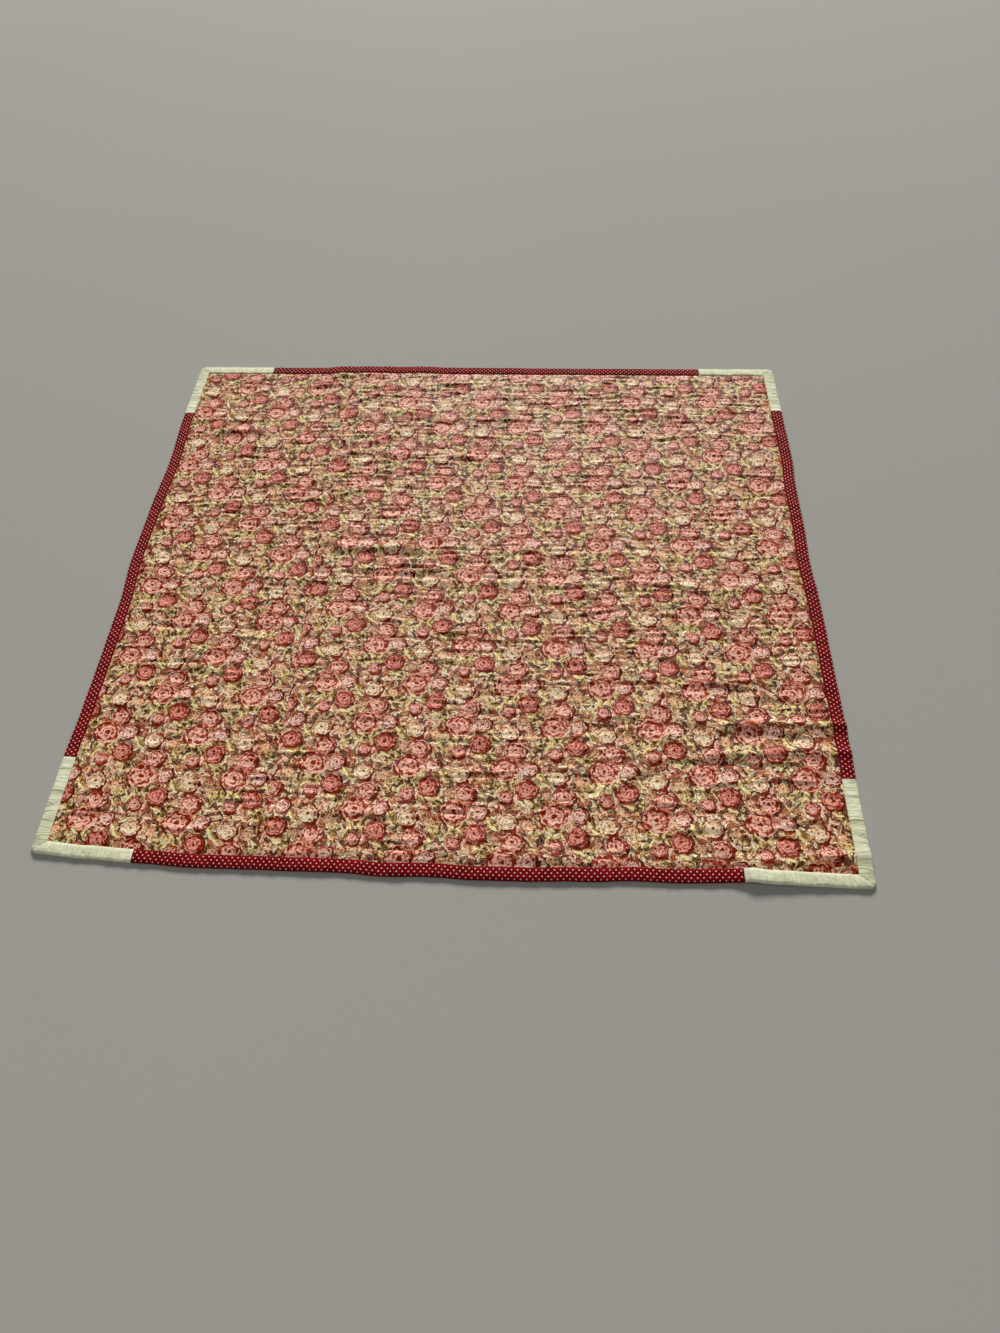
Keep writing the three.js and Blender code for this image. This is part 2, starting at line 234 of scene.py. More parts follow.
# The big folds, which the binding follows too. Beyond the calm border they run out level.
def foldHeight(across, along):
    calm = cloth["calm"]
    x = np.clip(across, calm, cloth["width"] - calm) - cloth["width"] / 2
    y = np.clip(along, calm, cloth["length"] - calm) - cloth["length"] / 2
    height = np.zeros_like(x)
    for x0, y0, x1, y1, bow, reach, rise in folds:
        length = math.hypot(x1 - x0, y1 - y0)
        east, north = (x1 - x0) / length, (y1 - y0) / length
        run = (x - x0) * east + (y - y0) * north
        t = np.clip(run / length, 0, 1)
        beside = (x - x0) * north - (y - y0) * east + 4 * bow * t * (1 - t)
        past = (run - t * length) / cloth["foldFade"]
        reach *= cloth["foldReach"]
        height += cloth["foldRise"] * rise * np.exp(-(beside ** 2 + past ** 2) / reach ** 2)
    return height


# Fine creases and puckers inside the binding.
def crumpleHeight(across, along):
    x, y = across - cloth["width"] / 2, along - cloth["length"] / 2
    height = np.zeros_like(x)
    for middleX, middleY, east, north, half, reach, rise in creases:
        run = (x - middleX) * east + (y - middleY) * north
        beside = (y - middleY) * east - (x - middleX) * north
        past = np.maximum(0, np.abs(run) - half)
        height += rise * np.exp(-(beside / reach) ** 2 - (past / (crumple["creaseFade"] * reach)) ** 2)
    drift = layerNoise("drift", x, y)
    strength = 1 + layerNoise("strength", x, y)
    height += strength * np.abs(layerNoise("puckers", x, y + drift))
    height += strength * np.abs(layerNoise("finePuckers", x, y + drift))
    return height + layerNoise("softPuckers", x, y - drift) + layerNoise("unevenness", x, y)


# Distances from the nearer side, and from the nearer of the front and back edges.
def edgeDistances(across, along):
    return np.minimum(across, cloth["width"] - across), np.minimum(along, cloth["length"] - along)


# Gathers of the binding, and of the cloth beside it, across the nearest edge.
def gatherHeight(across, along):
    fromSide, fromFront = edgeDistances(across, along)
    run = np.where(fromSide < fromFront, along, across + crumple["gathersApart"])
    depth = np.minimum(fromSide, fromFront)
    gather = layerNoise("gathers", run, depth) + layerNoise("fineGathers", run, depth)
    return np.maximum(0, gather + crumple["gathersLift"])


# How far a side stands out a share of the way along it.
def sideOut(side, share, run):
    places, outs = np.array(outline["bows"][side]).T
    index = np.clip(np.searchsorted(places, share, side="right") - 1, 0, len(places) - 2)
    step = smoothStep(share, places[index], places[index + 1])
    row = np.full_like(share, outline["waverRows"][side])
    waver = outline["waver"] * cellNoise(run / outline["waverSize"], row)
    return outs[index] + (outs[index + 1] - outs[index]) * step + waver


# Where points of the flat cloth lie in plan, in millimetres before the shift to the middle.
def planPlace(across, along):
    u, v = across / cloth["width"], along / cloth["length"]
    plan = [(1 - v) * ((1 - u) * outline["frontLeft"][axis] + u * outline["frontRight"][axis])
            + v * ((1 - u) * outline["backLeft"][axis] + u * outline["backRight"][axis]) for axis in (0, 1)]
    x = plan[0] + u * sideOut("right", v, along) - (1 - u) * sideOut("left", v, along)
    y = plan[1] + v * sideOut("back", u, across) - (1 - v) * sideOut("front", u, across)
    return x, y


def placePoints(across, along, height):
    x, y = planPlace(across, along)
    points = np.stack([x + cloth["shift"][0], y + cloth["shift"][1], height], -1)
    return points.reshape(-1, 3) / 1000


# Faces from flatFrom on are shaded flat, and those from secondFrom on have the second material.
def makeObject(name, points, faces, uvMaps, materials, flatFrom, secondFrom=None):
    mesh = bpy.data.meshes.new(name)
    mesh.from_pydata([tuple(point) for point in points.tolist()], [], faces)
    vertexOfLoop = np.zeros(len(mesh.loops), np.int32)
    mesh.loops.foreach_get("vertex_index", vertexOfLoop)
    for uvName, uvs in uvMaps.items():
        layer = mesh.uv_layers.new(name=uvName)
        layer.data.foreach_set("uv", np.ascontiguousarray(uvs[vertexOfLoop], np.float32).ravel())
    mesh.polygons.foreach_set("use_smooth", np.arange(len(faces)) < flatFrom)
    for material in materials:
        mesh.materials.append(material)
    if secondFrom is not None:
        slots = (np.arange(len(faces)) >= secondFrom).astype(np.int32)
        mesh.polygons.foreach_set("material_index", slots)
    mesh.update()
    made = bpy.data.objects.new(name, mesh)
    scene.collection.objects.link(made)
    return made


# The helpers below add their nodes to the material that was started last.
current = {}


def newMaterial(name, settings):
    material = bpy.data.materials.new(name)
    material.use_nodes = True
    current["tree"] = material.node_tree
    shader = current["tree"].nodes["Principled BSDF"]
    shader.inputs["Roughness"].default_value = settings["roughness"]
    shader.inputs["Specular IOR Level"].default_value = settings["specular"]
    return material, shader


# A colour from its usual six-digit form, as the shader's own linear light.
def dye(code):
    parts = [int(code[i:i + 2], 16) / 255 for i in (0, 2, 4)]
    return tuple(part / 12.92 if part < 0.04045 else ((part + 0.055) / 1.055) ** 2.4 for part in parts) + (1,)


def feed(socket, value):
    if isinstance(value, bpy.types.NodeSocket):
        current["tree"].links.new(value, socket)
    else:
        socket.default_value = dye(value) if isinstance(value, str) else value


# The inputs are a list in the node's own order, or a dictionary by name or number.
def addNode(kind, inputs=(), **options):
    node = current["tree"].nodes.new("ShaderNode" + kind)
    for option, value in options.items():
        setattr(node, option, value)
    for key, value in inputs.items() if isinstance(inputs, dict) else enumerate(inputs):
        feed(node.inputs[key], value)
    return node


def calc(operation, *values, clamp=False):
    return addNode("Math", values, operation=operation, use_clamp=clamp).outputs[0]


def calcVector(operation, *values):
    isNumber = operation in ("LENGTH", "DISTANCE", "DOT_PRODUCT")
    return addNode("VectorMath", values, operation=operation).outputs["Value" if isNumber else "Vector"]


def spread(value, low, high, first=0.0, last=1.0):
    values = (value, low, high, first, last)
    return addNode("MapRange", values, interpolation_type="SMOOTHSTEP").outputs[0]


# A Mix node has sockets of its own for each type of value, taken here by their numbers.
def mixVector(amount, below, above):
    return addNode("Mix", {0: amount, 4: below, 5: above}, data_type="VECTOR").outputs[1]


def mixColour(amount, below, above):
    return addNode("Mix", {0: amount, 6: below, 7: above}, data_type="RGBA").outputs[2]


def joinAxes(x, y):
    return addNode("CombineXYZ", (x, y)).outputs[0]


def splitAxes(vector):
    return addNode("SeparateXYZ", [vector]).outputs[:3]


def noise(vector, scale, detail, roughness=0.5, output="Fac"):
    inputs = {"Vector": vector, "Scale": scale, "Detail": detail, "Roughness": roughness}
    return addNode("TexNoise", inputs, noise_dimensions="2D").outputs[output]


# Noise that pushes both ways, for bending a pattern.
def push(vector, scale, detail, roughness=0.5):
    return calcVector("SUBTRACT", noise(vector, scale, detail, roughness, "Color"), (0.5, 0.5, 0.5))


def uvFrom(name):
    return addNode("UVMap", uv_map=name).outputs[0]


def colourSteps(amount, steps):
    node = addNode("ValToRGB", [amount])
    node.color_ramp.interpolation = "CONSTANT"
    elements = node.color_ramp.elements
    for index, (place, code) in enumerate(steps):
        element = elements[index] if index < 2 else elements.new(place)
        element.position = place
        element.color = dye(code)
    return node.outputs[0]


def addBump(shader, height, distance, strength, under=None):
    node = addNode("Bump", {"Height": height, "Distance": distance, "Strength": strength})
    if under is not None:
        feed(node.inputs["Normal"], under)
    feed(shader.inputs["Normal"], node.outputs[0])
    return node.outputs[0]


# Threads that cross: a raised dot wherever one passes over, in a map measured in millimetres.
def threads(place, pitch):
    x, y, _ = splitAxes(place)
    warp = calc("SINE", calc("MULTIPLY", x, 2 * math.pi / pitch))
    weft = calc("SINE", calc("MULTIPLY", y, 2 * math.pi / pitch))
    return calc("MULTIPLY", warp, weft)


weave = {"rise": 0.00006, "strength": 0.6}


# Fine wrinkles with the cloth's own threads over them.
def addRelief(shader, place, wrinkles, settings):
    bumped = addBump(shader, wrinkles, *settings["wrinkle"])
    addBump(shader, threads(place, settings["thread"]), weave["rise"], weave["strength"], bumped)


# The print: tones of each flower or leaf (deep, middle, light), numbered from 1.
# Those after faintRose are shaded as leaves. A spray is ground with greener leaves.
tones = [
    ("halo", "583128", "74453a", "946050"),
    ("creamRose", "8c6450", "bb9a80", "d8c0a0"),
    ("peachRose", "8a5e4a", "b48a70", "d4b494"),
    ("pinkRose", "7a4438", "9e6a5c", "d2ac96"),
    ("ringRose", "7a443a", "9e685a", "d2aa94"),
    ("budRose", "845044", "b07e70", "d8b8a2"),
    ("deepRose", "784238", "9c6458", "c89a88"),
    ("brightRose", "80483e", "a87468", "d0aa96"),
    ("faintRose", "7a5040", "a27e66", "ccaa90"),
    ("palePetal", "a37461", "c9a38c", "dec2a8"),
    ("yellowLeaf", "8a7450", "cab48a", "e0cfa2"),
    ("paleLeaf", "7c664a", "bca47c", "dac69a"),
    ("greenLeaf", "44402c", "665f40", "968a60"),
    ("bead", "a67c65", "cdaa8f", "e0c9ae"),
    ("paleRing", "a37461", "c9a38c", "dec2a8"),
]
numberOf = {name: index for index, (name, *_) in enumerate(tones, 1)}
numberOf["spray"] = len(tones) + 1

# Where each stands in the repeat, in millimetres from the middle of the cream rose: x to the right,
# y to the front, half length, half width, turn in degrees. Later ones lie over earlier ones.
motifs = [
    ("spray", 0, -76, 19, 14, 10), ("spray", -30, -66, 15, 14, 0), ("spray", -38, 58, 17, 12, 25),
    ("spray", -27, 5, 13, 9, 50), ("spray", 50, 27, 12, 15, 0),
    ("halo", 5, 4, 17, 19, 10), ("halo", 34, -64, 21, 22, 0), ("halo", -2, -46, 13, 16, 0),
    ("halo", 13, 42, 21, 23, 0), ("halo", 40, 78, 17, 17, 0), ("halo", -6, 82, 27, 27, 0),
    ("palePetal", 22, -15, 10, 4.2, 125), ("palePetal", 28, -23, 9, 3.4, 35),
    ("palePetal", 21, 11, 9, 3.6, 110), ("palePetal", 15, -48, 8, 4.6, 100),
    ("palePetal", 22, 25, 8, 1.3, 35), ("palePetal", 35, 34, 10, 1.4, 50),
    ("paleLeaf", 7, -79, 9, 3.6, 120), ("yellowLeaf", -11, -82, 10, 3.8, 30), ("paleLeaf", 9, -69, 8, 3, 60),
    ("paleLeaf", -9, -70, 8, 3.2, 75), ("yellowLeaf", -17, -60, 10, 3.8, 120),
    ("paleLeaf", -37, -68, 8, 3.2, 165), ("paleLeaf", -24, -78, 8, 3, 100),
    ("yellowLeaf", -50, 54, 10, 4.4, 25), ("paleLeaf", -40, 66, 9, 3.4, 50),
    ("paleLeaf", -28, 48, 9, 3.2, 120), ("paleLeaf", 44, 22, 8, 3.2, 75), ("yellowLeaf", 43, 43, 6, 3.2, 60),
    ("yellowLeaf", -31, 0, 9, 4.8, 60), ("yellowLeaf", -24, 12, 10, 5, 45),
    ("bead", -20, -29, 3.4, 3, 0), ("bead", -28, -23, 3.2, 2.8, 0), ("bead", -8, -27, 2.4, 2.2, 0),
    ("bead", -22, -17, 2.4, 2.2, 0), ("bead", 66, 64, 2.6, 2.4, 0), ("bead", 22, -30, 2.4, 2, 0),
    ("faintRose", -18, 38, 7.5, 9, 15), ("peachRose", 39, 7, 11, 10.5, 0), ("creamRose", 0, 0, 17, 16.5, 0),
    ("brightRose", -4, -50, 12.5, 12, 0), ("deepRose", 33, -67, 18, 18.5, 0),
    ("pinkRose", 11, 40, 19, 18.5, 0), ("budRose", 37, 77, 15, 14.5, 0),
    ("paleRing", -3, 78, 26.5, 26, 0), ("ringRose", -6, 79, 24.5, 24, 0),
    ("greenLeaf", -2, -77, 3.4, 2.4, 60), ("greenLeaf", -28, -67, 3.2, 2.4, 20),
    ("greenLeaf", -28, 50, 4.6, 2.4, 40), ("greenLeaf", -35, 57, 5, 2.8, 30),
    ("greenLeaf", -42, 64, 4.2, 2.6, 140), ("greenLeaf", 56, 29, 3.2, 2.2, 0),
    ("greenLeaf", 24, -17, 2.6, 2, 0), ("greenLeaf", 49, -8, 3, 2.4, 30), ("greenLeaf", 50, 3, 2.6, 2.2, 0),
]
ovals = ("halo", "spray", "bead", "paleRing")

chintz = {
    "column": 87,  # the repeat: one column to the right, and half the drop to the front
    "drop": 187,
    "east": (1.0077, 0.0044),  # how the print lies on the cloth
    "north": (0.0106, -1.0041),
    "leftStart": (-378.3, -258),
    "rightStart": (25, -309),
    "wobble": 9.2,  # millimetres, half of it each way
    "wobbleSize": 0.12,  # cells of noise for each millimetre, as are the other sizes here
    "mottle": 0.8,  # uneven printing
    "mottleSize": 0.22,
    "display": 2.2,  # the tones are strengthened as they show on a display
    "gain": (1.72, 2.0, 2.3),
    "lift": (-0.393, -0.55, -0.648),
    "palest": (1.0, 0.95, 0.87),
    "darkest": (0.31, 0.13, 0.07),
    "roughness": 0.42,
    "specular": 0.045,
    "wrinkle": (0.0012, 0.8),  # metres, and strength
    "thread": 0.7,  # millimetres
}

# A rose, in shares of its radius. Its rings of petals have a reach, an inner end, petals and a turn.
rose = {
    "rings": [(1.08, 0.5, 6, 0.3), (0.72, 0.12, 5, 1.2), (0.36, -0.2, 3, 0.5)],
    "lip": 0.82,  # where a ring ends between two petals, as a share of its reach
    "lobe": 0.22,  # how much further each petal stands out
    "blur": 0.015,
    "paleLip": 0.06,
    "base": 0.45,
    "turn": 1.7,  # radians from one kind to the next
    "bend": (0.5, 0.5, 0),
    "bendSize": 0.13,
    "slant": (-0.1, 0.16, 0),  # paler to the left and to the front
    "rim": 0.8,  # a pale edge, in patches
    "rimPatches": 0.09,
}

# The small leaves of the ground, in millimetres, those that lie lowest first.
fillers = [
    {"spacing": 18.0, "long": 9.6, "wide": 4.6, "shift": (0, 0),
     "plain": [(0.0, "b28264"), (0.18, "7e6846"), (0.3, "c69a7e"), (0.55, "885240"), (0.75, "b8946e")],
     "green": [(0.0, "927c54"), (0.25, "c2aa82"), (0.5, "665838"), (0.7, "ceb88e")]},
    {"spacing": 15.0, "long": 8.4, "wide": 3.9, "shift": (31, 17),
     "plain": [(0.0, "d4aa8c"), (0.22, "887250"), (0.34, "e0c4a2"), (0.58, "a0624e"), (0.78, "ceb088")],
     "green": [(0.0, "dcc89c"), (0.3, "a09064"), (0.5, "e4d2a8"), (0.8, "bea678")]},
    {"spacing": 13.5, "long": 6.0, "wide": 2.8, "shift": (67, 43),
     "plain": [(0.0, "e4caa8"), (0.3, "ba866e"), (0.48, "e2caa4"), (0.7, "aa6e5a"), (0.86, "dcc89c")],
     "green": [(0.0, "e6d6ae"), (0.4, "dac696"), (0.7, "4a482e"), (0.85, "cca484")]},
]

# The ground under them, and the stems that curl over it.
ground = {
    "dark": "4a2c1e",
    "light": "6c4430",
    "shade": "583826",  # on the dark side of a small leaf
    "scatter": 0.85,  # how unevenly the small leaves stand
    "stem": "d8be9f",
    "stemSize": 0.11,
    "stemStep": 0.06,  # from stem to stem, in the noise's own value
    "stemStrength": 0.85,
}


# A point of the repeat, carried into the cell around an anchor, in millimetres from it.
def cellPlace(place, anchor):
    column, drop = chintz["column"], chintz["drop"]
    fromAnchor = calcVector("SUBTRACT", place, (anchor[0], anchor[1], 0))
    s = calcVector("DOT_PRODUCT", fromAnchor, (1 / column, 0, 0))
    t = calcVector("DOT_PRODUCT", fromAnchor, (-0.5 / column, 1 / drop, 0))
    wrapped = calcVector("WRAP", joinAxes(s, t), (0.5, 0.5, 0.5), (-0.5, -0.5, -0.5))
    x = calcVector("DOT_PRODUCT", wrapped, (column, 0, 0))
    y = calcVector("DOT_PRODUCT", wrapped, (0.5 * drop, drop, 0))
    return joinAxes(x, y)


# The same for a motif's middle, by hand.
def cellOffset(x, y, anchor):
    column, drop = chintz["column"], chintz["drop"]
    s = (x - anchor[0]) / column
    t = (y - anchor[1]) / drop - 0.5 * s
    s, t = s - round(s), t - round(t)
    return column * s, drop * t + 0.5 * drop * s


# How far it lies towards the cell's edge, where 0.5 is on it.
def fromMiddle(x, y):
    s = x / chintz["column"]
    return max(abs(s), abs(y / chintz["drop"] - 0.5 * s))


# How deep a point lies inside a leaf between two arcs, which runs from -1 to 1 along x.
def leafDepth(local, ratio):
    centre = (1 - ratio * ratio) / (2 * ratio)
    away = calcVector("DISTANCE", calcVector("ABSOLUTE", local), (0, -centre, 0))
    return calc("SUBTRACT", math.hypot(1, centre), away)


# Each motif in turn lays its own coordinates, with its number in thousandths as the third, over what
# lies under it.
def layMotifs(place):
    column, drop = chintz["column"], chintz["drop"]
    anchors = [(0, 0), (0.5 * column, 0.25 * drop), (0, 0.5 * drop), (0.5 * column, 0.75 * drop)]
    cells = [cellPlace(place, anchor) for anchor in anchors]
    seen = joinAxes(0.0, 0.0)
    for name, x, y, long, wide, turn in motifs:
        offsets = [cellOffset(x, y, anchor) for anchor in anchors]
        nearest = min(range(len(anchors)), key=lambda index: fromMiddle(*offsets[index]))
        isOval = name.endswith("Rose") or name in ovals
        middle = (*offsets[nearest], -numberOf[name] / 1000)
        size = (long, wide if isOval else long, 1)
        inputs = (cells[nearest], middle, (0, 0, math.radians(turn)), size)
        local = addNode("Mapping", inputs, vector_type="TEXTURE").outputs[0]
        if isOval:
            depth = calc("SUBTRACT", 1.0, calcVector("LENGTH", local))
        else:
            depth = leafDepth(local, wide / long)
        seen = mixVector(calc("GREATER_THAN", depth, 0.0), seen, local)
    return seen


# Rings of scalloped petals, each pale along its lip and deep where it tucks behind the next.
def roseTone(place, seen, number):
    bend = push(place, rose["bendSize"], 2.0)
    bent = calcVector("MULTIPLY_ADD", bend, rose["bend"], calcVector("MULTIPLY", seen, (1, 1, 0)))
    x, y, _ = splitAxes(bent)
    angle = calc("MULTIPLY_ADD", number, rose["turn"], calc("ARCTAN2", y, x))
    away = calcVector("LENGTH", bent)
    tone = rose["base"]
    for reach, inner, petals, turn in rose["rings"]:
        lobe = calc("SINE", calc("MULTIPLY_ADD", angle, petals / 2, turn))
        lobe = calc("ABSOLUTE", lobe)
        lip = calc("MULTIPLY_ADD", lobe, rose["lobe"] * reach, rose["lip"] * reach)
        inwards = calc("SUBTRACT", lip, away)
        within = spread(inwards, -rose["blur"], rose["blur"])
        shade = spread(inwards, rose["paleLip"], reach - inner, 1.0, 0.1)
        tone = calc("MULTIPLY_ADD", calc("SUBTRACT", shade, tone), within, tone)
    tone = calc("ADD", tone, calcVector("DOT_PRODUCT", bent, rose["slant"]))
    outwards = spread(calcVector("LENGTH", seen), 0.5, 0.95, 0.05, -0.4)
    tone = calc("ADD", tone, outwards)
    rim = calc("MULTIPLY", spread(away, 0.84, 0.88), spread(away, 1.0, 0.96))
    patches = spread(noise(place, rose["rimPatches"], 1.0), 0.4, 0.55)
    tone = calc("MULTIPLY_ADD", calc("MULTIPLY", rim, patches), rose["rim"], tone)
    heart = spread(away, 0.08, 0.24, -0.5, 0.0)
    return calc("ADD", tone, heart)


# Leaves have a pale rib and one side lighter than the other.
def leafTone(seen):
    _, y, _ = splitAxes(seen)
    rib = spread(calc("ABSOLUTE", y), 0.08, 0.02, 0.0, 0.35)
    side = spread(y, -0.06, 0.06, 0.35, 0.7)
    return calc("ADD", rib, side)


def motifColour(place, seen, number, mottle):
    petal = roseTone(place, seen, number)
    blade = leafTone(seen)
    isLeaf = calc("GREATER_THAN", number, numberOf["faintRose"] + 0.5)
    tone = calc("MULTIPLY_ADD", calc("SUBTRACT", blade, petal), isLeaf, petal)
    tone = calc("MULTIPLY_ADD", calc("SUBTRACT", mottle, 0.5), chintz["mottle"], tone)
    tone = calc("MULTIPLY_ADD", tone, 1.15, -0.16, clamp=True)
    count = len(tones)
    lookUp = calc("MULTIPLY", calc("SUBTRACT", number, 0.5), 1 / count)
    deep, middle, light = (
        colourSteps(lookUp, [(index / count, row[which]) for index, row in enumerate(tones)])
        for which in (1, 2, 3))
    colour = mixColour(spread(tone, 0.05, 0.58), deep, middle)
    return mixColour(spread(tone, 0.58, 1.0), colour, light)


# Small leaves or petals, one in each cell of a scattered grid: their mask, their shading and a kind
# for each.
def scatterLeaves(place, shape):
    shift = (*shape["shift"], 0)
    inputs = {"Vector": calcVector("ADD", place, shift), "Scale": 1 / shape["spacing"],
              "Randomness": ground["scatter"]}
    grid = addNode("TexVoronoi", inputs, voronoi_dimensions="2D").outputs
    kind, turn, _ = splitAxes(grid["Color"])
    away = calcVector("SUBTRACT", place, calcVector("SUBTRACT", grid["Position"], shift))
    inputs = {"Vector": away, "Angle": calc("MULTIPLY", turn, 6.28)}
    turned = addNode("VectorRotate", inputs, rotation_type="Z_AXIS").outputs[0]
    local = calcVector("MULTIPLY", turned, (1 / shape["long"], 1 / shape["long"], 0))
    ratio = shape["wide"] / shape["long"]
    depth = leafDepth(local, ratio)
    mask = spread(depth, -0.03, 0.03)
    _, acrossLeaf, _ = splitAxes(local)
    lit = spread(acrossLeaf, -0.5 * ratio, 0.6 * ratio, 0.12, 0.8)
    rib = spread(calc("ABSOLUTE", acrossLeaf), 0.14, 0.05, 0.0, -0.3)
    rim = spread(depth, 0.15, 0.05, 0.0, 0.55)
    return mask, calc("ADD", calc("ADD", lit, rib), rim), kind


# Between the flowers small leaves and petals lie thick on the brown ground, greener in the sprays.
def groundColour(place, mottle, isSpray):
    colour = mixColour(spread(mottle, 0.35, 0.65), ground["dark"], ground["light"])
    for shape in fillers:
        mask, shade, kind = scatterLeaves(place, shape)
        plain = colourSteps(kind, shape["plain"])
        green = colourSteps(kind, shape["green"])
        leaf = mixColour(isSpray, plain, green)
        leaf = mixColour(spread(shade, 0.1, 0.8, 0.6, 0.0), leaf, ground["shade"])
        colour = mixColour(mask, colour, leaf)
    curl = calc("PINGPONG", noise(place, ground["stemSize"], 1.5), ground["stemStep"])
    stem = calc("MULTIPLY", spread(curl, 0.009, 0.004), ground["stemStrength"])
    return mixColour(stem, colour, ground["stem"])


def strengthen(colour):
    shown = addNode("Gamma", (colour, 1 / chintz["display"])).outputs[0]
    shown = calcVector("MULTIPLY_ADD", shown, chintz["gain"], chintz["lift"])
    shown = calcVector("MINIMUM", shown, chintz["palest"])
    shown = calcVector("MAXIMUM", shown, chintz["darkest"])
    return addNode("Gamma", (shown, chintz["display"])).outputs[0]


def printMaterial():
    material, shader = newMaterial("rosePrint", chintz)
    flat = uvFrom("print")
    wobble = push(flat, chintz["wobbleSize"], 2.5, 0.6)
    place = calcVector("MULTIPLY_ADD", wobble, (chintz["wobble"], chintz["wobble"], 0), flat)
    seen = layMotifs(place)
    number = calc("MULTIPLY", splitAxes(seen)[2], 1000.0)
    mottle = noise(place, chintz["mottleSize"], 2.0, 0.6)
    isSpray = calc("COMPARE", number, numberOf["spray"], 0.5)
    isGround = calc("MAXIMUM", calc("LESS_THAN", number, 0.5), isSpray)
    colour = mixColour(isGround, motifColour(place, seen, number, mottle),
                       groundColour(place, mottle, isSpray))
    feed(shader.inputs["Base Color"], strengthen(colour))
    wrinkles = noise(calcVector("MULTIPLY", flat, (0.3, 1.0, 1.0)), 0.16, 3.0, 0.55)
    addRelief(shader, flat, wrinkles, chintz)
    return material


# Half the spacing of the pin dots and their radius are in millimetres. They stand in alternate rows.
pinDot = {
    "along": 5.05,
    "across": 5.85,
    "radius": 1.15,
    "blur": 0.12,
    "cotton": ("6c0810", "840d17"),
    "dot": "f6dcc0",
    "jointShadow": "3c080c",  # the shadow where two pieces meet
    "roughness": 0.85,
    "specular": 0.03,
    "wrinkle": (0.0010, 0.7),
    "thread": 0.6,
}


def redMaterial():
    material, shader = newMaterial("redPinDot", pinDot)
    place = uvFrom("strip")
    high, low = (pinDot["along"], pinDot["across"], 1), (-pinDot["along"], -pinDot["across"], -1)
    first = calcVector("LENGTH", calcVector("WRAP", place, high, low))
    shifted = calcVector("ADD", place, (pinDot["along"], pinDot["across"], 0))
    second = calcVector("LENGTH", calcVector("WRAP", shifted, high, low))
    nearest = calc("MINIMUM", first, second)
    dot = spread(nearest, pinDot["radius"] + pinDot["blur"], pinDot["radius"] - pinDot["blur"])
    patch = noise(place, 0.05, 3.0, 0.6)
    cotton = mixColour(spread(patch, 0.3, 0.7), *pinDot["cotton"])
    ends, _, _ = splitAxes(uvFrom("ends"))
    # Painted shadow: the cloth is darkened near each end, where two pieces meet.
    cotton = mixColour(spread(ends, 1.1, 0.2), cotton, pinDot["jointShadow"])
    feed(shader.inputs["Base Color"], mixColour(dot, cotton, pinDot["dot"]))
    wrinkles = noise(calcVector("MULTIPLY", place, (1.0, 0.3, 1.0)), 0.22, 3.0, 0.55)
    addRelief(shader, place, wrinkles, pinDot)
    return material


cream = {
    "cotton": ("e0e0b8", "f3f3d2"),
    "check": "b6b490",
    "checkSize": 3.2,
    "checkStrength": 0.22,
    "hem": "ecebd0",
    "hemStrength": 0.6,
    # painted shadow where two pieces meet
    "jointShadow": "6e5c40",
    # painted shade in the creases of the pleats
    "creaseShade": "74663c",
    "creaseSize": 0.075,
    "creaseFold": 0.25,  # the noise is folded here, and a crease lies where it is lowest
    "sideCreaseShade": 0.2,  # added on the sides
    "leastCreaseShade": 0.12,
    "mitre": "8a8560",
    "mitreStrength": 0.4,
    "mitreReach": 28,
    "sheen": 0.12,
    "roughness": 0.75,
    "specular": 0.3,
    "wrinkle": (0.0010, 0.7),
    "thread": 0.6,
}


# On the corners the strip's map is the distance from the side in x and from the front or back in y.
def creamMaterial():
    material, shader = newMaterial("creamCotton", cream)
    shader.inputs["Sheen Weight"].default_value = cream["sheen"]
    place = uvFrom("strip")
    x, y, _ = splitAxes(place)
    farther, nearer = calc("MAXIMUM", x, y), calc("MINIMUM", x, y)
    patch = noise(place, 0.04, 3.0, 0.6)
    cotton = mixColour(spread(patch, 0.25, 0.75), *cream["cotton"])
    check = threads(place, cream["checkSize"])
    check = spread(check, 0.2, 0.9, 0.0, cream["checkStrength"])
    cotton = mixColour(check, cotton, cream["check"])
    ends, _, _ = splitAxes(uvFrom("ends"))
    hem = calc("MULTIPLY", spread(ends, 4.5, 3.8), spread(ends, 0.4, 1.2))
    hem = calc("MULTIPLY", hem, cream["hemStrength"])
    cotton = mixColour(hem, cotton, cream["hem"])
    # Painted shadow: the cloth is darkened near each end, where two pieces meet.
    cotton = mixColour(spread(ends, 0.9, 0.2), cotton, cream["jointShadow"])
    stretched = joinAxes(farther, calc("MULTIPLY", nearer, 0.16))
    pleat = calc("PINGPONG", noise(stretched, cream["creaseSize"], 0.6), cream["creaseFold"])
    # Painted shade darkens the creases between the pleats, more on the sides than on the front and back.
    isSide = calc("LESS_THAN", x, y)
    strength = calc("MULTIPLY_ADD", isSide, cream["sideCreaseShade"], cream["leastCreaseShade"])
    creaseShade = calc("MULTIPLY", spread(pleat, 0.06, 0.015), strength)
    cotton = mixColour(creaseShade, cotton, cream["creaseShade"])
    inCorner = calc("LESS_THAN", farther, cream["mitreReach"])
    mitre = calc("SUBTRACT", farther, nearer)
    mitre = calc("MULTIPLY", spread(mitre, 1.1, 0.3), inCorner)
    mitre = calc("MULTIPLY", mitre, cream["mitreStrength"])
    feed(shader.inputs["Base Color"], mixColour(mitre, cotton, cream["mitre"]))
    wrinkles = noise(place, 0.15, 3.0, 0.55)
    wrinkles = calc("MULTIPLY_ADD", spread(pleat, 0.06, 0.0), -0.5, wrinkles)
    addRelief(shader, place, wrinkles, cream)
    return material


lining = {
    "cotton": ("cfc8a6", "dfdabd"),
    "roughness": 0.8,
    "specular": 0.3,
    "wrinkle": (0.0010, 0.7),
    "thread": 0.7,
}


